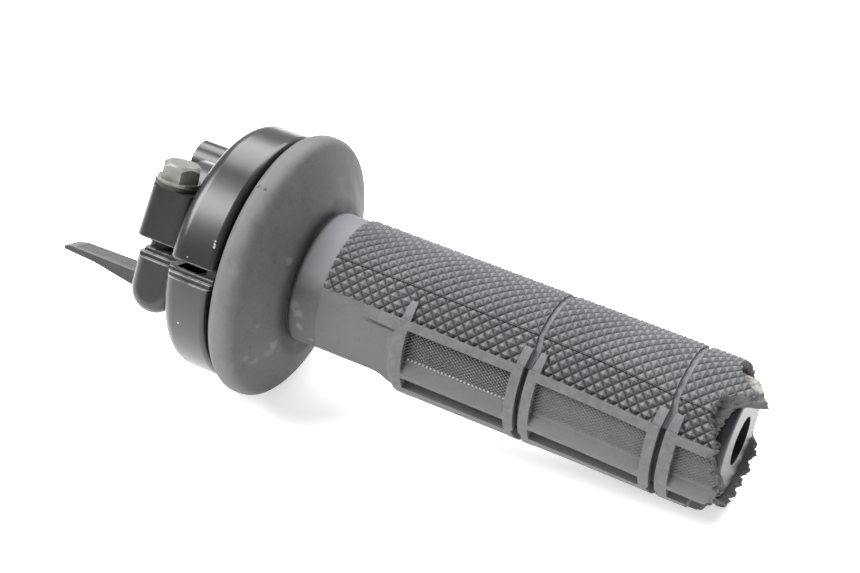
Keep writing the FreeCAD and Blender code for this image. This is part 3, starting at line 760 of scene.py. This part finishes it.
# the washers under the bolts' flanges are near black, partly as painted shadow of the flanges on the block
# tops
dark = plain_material("black_washer_and_painted_shadow", (0.020, 0.020, 0.020), (0.050, 0.048, 0.046), 0.45, 500,
                      Metallic=0.5)
seal = plain_material("seal_rubber", (0.018, 0.018, 0.020), (0.032, 0.032, 0.034), 0.6, 200)
acetal = plain_material("natural_acetal", (0.55, 0.54, 0.49), (0.68, 0.67, 0.63), 0.4, 200)
brass = plain_material("tarnished_brass", (0.22, 0.15, 0.06), (0.42, 0.31, 0.13), 0.35, 300, Metallic=0.9)
guide = plain_material("satin_black_plastic", (0.020, 0.020, 0.022), (0.038, 0.038, 0.041), 0.42, 250)
gloss = plain_material("gloss_black_tube", (0.010, 0.011, 0.014), (0.018, 0.020, 0.025), 0.32, 200,
                       Specular_IOR_Level=0.28)
nylon = plain_material("black_nylon", (0.030, 0.030, 0.032), (0.050, 0.050, 0.052), 0.45, 250)

for node, material in (
    ("upper_housing", paint), ("lower_housing", paint), ("clamp_bolts", bolt_steel), ("bolt_washers", dark),
    ("dust_seal", seal), ("cable_roller", acetal), ("roller_axle", steel), ("roller_washers", bare),
    ("pocket_plug", seal), ("port_bush", brass), ("cable_guide", guide), ("guide_screw", steel),
    ("throttle_tube", gloss), ("cable_reel", nylon), ("reel_washer", bare),
):
    use(node, material)

# ---------------------------------------------------------------------------------------------
# Table, light and camera
# ---------------------------------------------------------------------------------------------
TILT = math.radians(7.1)       # the bar's slope as it lies on the flange's rim and the torn end
TABLE_SIDE = 3.0              # half the table's side, metres
normal = Vector((-math.sin(TILT), 0.0, math.cos(TILT)))
lowest = min(
    min((Vector(v.co).dot(normal) for v in o.data.vertices), default=1.0)
    for o in bpy.data.objects
    if o.type == "MESH" and not o.hide_render
)
ground = Matrix.Rotation(-TILT, 4, "Y")
corners = [ground @ Vector((x * TABLE_SIDE, y * TABLE_SIDE, lowest))
           for x, y in ((-1, -1), (1, -1), (1, 1), (-1, 1))]
plane = bpy.data.meshes.new("table")
plane.from_pydata(corners, [], [(0, 1, 2, 3)])
table = bpy.data.objects.new("table", plane)
bpy.context.scene.collection.objects.link(table)
m = Nodes("pale_table")
pale = m.ramp(m.noise(1.5, 2), (0.3, (0.90, 0.90, 0.895)), (0.7, (0.92, 0.918, 0.91)))
table.data.materials.append(m.finish(pale, 0.6, Emission_Color=(1.0, 0.985, 0.96, 1), Emission_Strength=0.55))

world = bpy.data.worlds.new("studio")
bpy.context.scene.world = world
world.use_nodes = True
world.node_tree.nodes["Background"].inputs["Color"].default_value = (0.95, 0.97, 1.0, 1)
world.node_tree.nodes["Background"].inputs["Strength"].default_value = 0.52


def area(name, at, aim, size, power, color):
    light = bpy.data.lights.new(name, "AREA")
    light.shape = "RECTANGLE"
    light.size, light.size_y = size
    light.energy = power
    light.color = color
    obj = bpy.data.objects.new(name, light)
    at = ground @ Vector(at)
    aim = ground @ Vector(aim)
    obj.location = at
    obj.rotation_euler = (aim - at).to_track_quat("-Z", "Y").to_euler()
    bpy.context.scene.collection.objects.link(obj)


area("softbox_key", (-0.62, -0.40, 0.90), (0.0, 0, 0), (0.75, 0.75), 24.0, (1.0, 0.99, 0.98))
area("softbox_back", (-0.05, 0.75, 0.95), (0.05, 0, 0), (1.3, 0.8), 24.0, (0.97, 0.98, 1.0))

camera = bpy.data.objects.new("camera", bpy.data.cameras.new("camera"))
bpy.context.scene.collection.objects.link(camera)
camera.data.sensor_width = 36.0
camera.data.lens = 84.375
camera.data.clip_start = 0.01
# the camera's axes in the row frame, and its place in metres
RIGHT = Vector((0.88387, 0.45317, 0.11582))
DOWN = Vector((0.33775, -0.44707, -0.82828))
AHEAD = Vector((-0.32357, 0.77121, -0.54821))
PLACE = Vector((0.19636, -0.33484, 0.24644))
camera.matrix_world = Matrix((
    (RIGHT.x, -DOWN.x, -AHEAD.x, PLACE.x),
    (RIGHT.y, -DOWN.y, -AHEAD.y, PLACE.y),
    (RIGHT.z, -DOWN.z, -AHEAD.z, PLACE.z),
    (0, 0, 0, 1)))
bpy.context.scene.camera = camera
bpy.context.scene.view_settings.view_transform = "Standard"
bpy.context.scene.view_settings.look = "None"
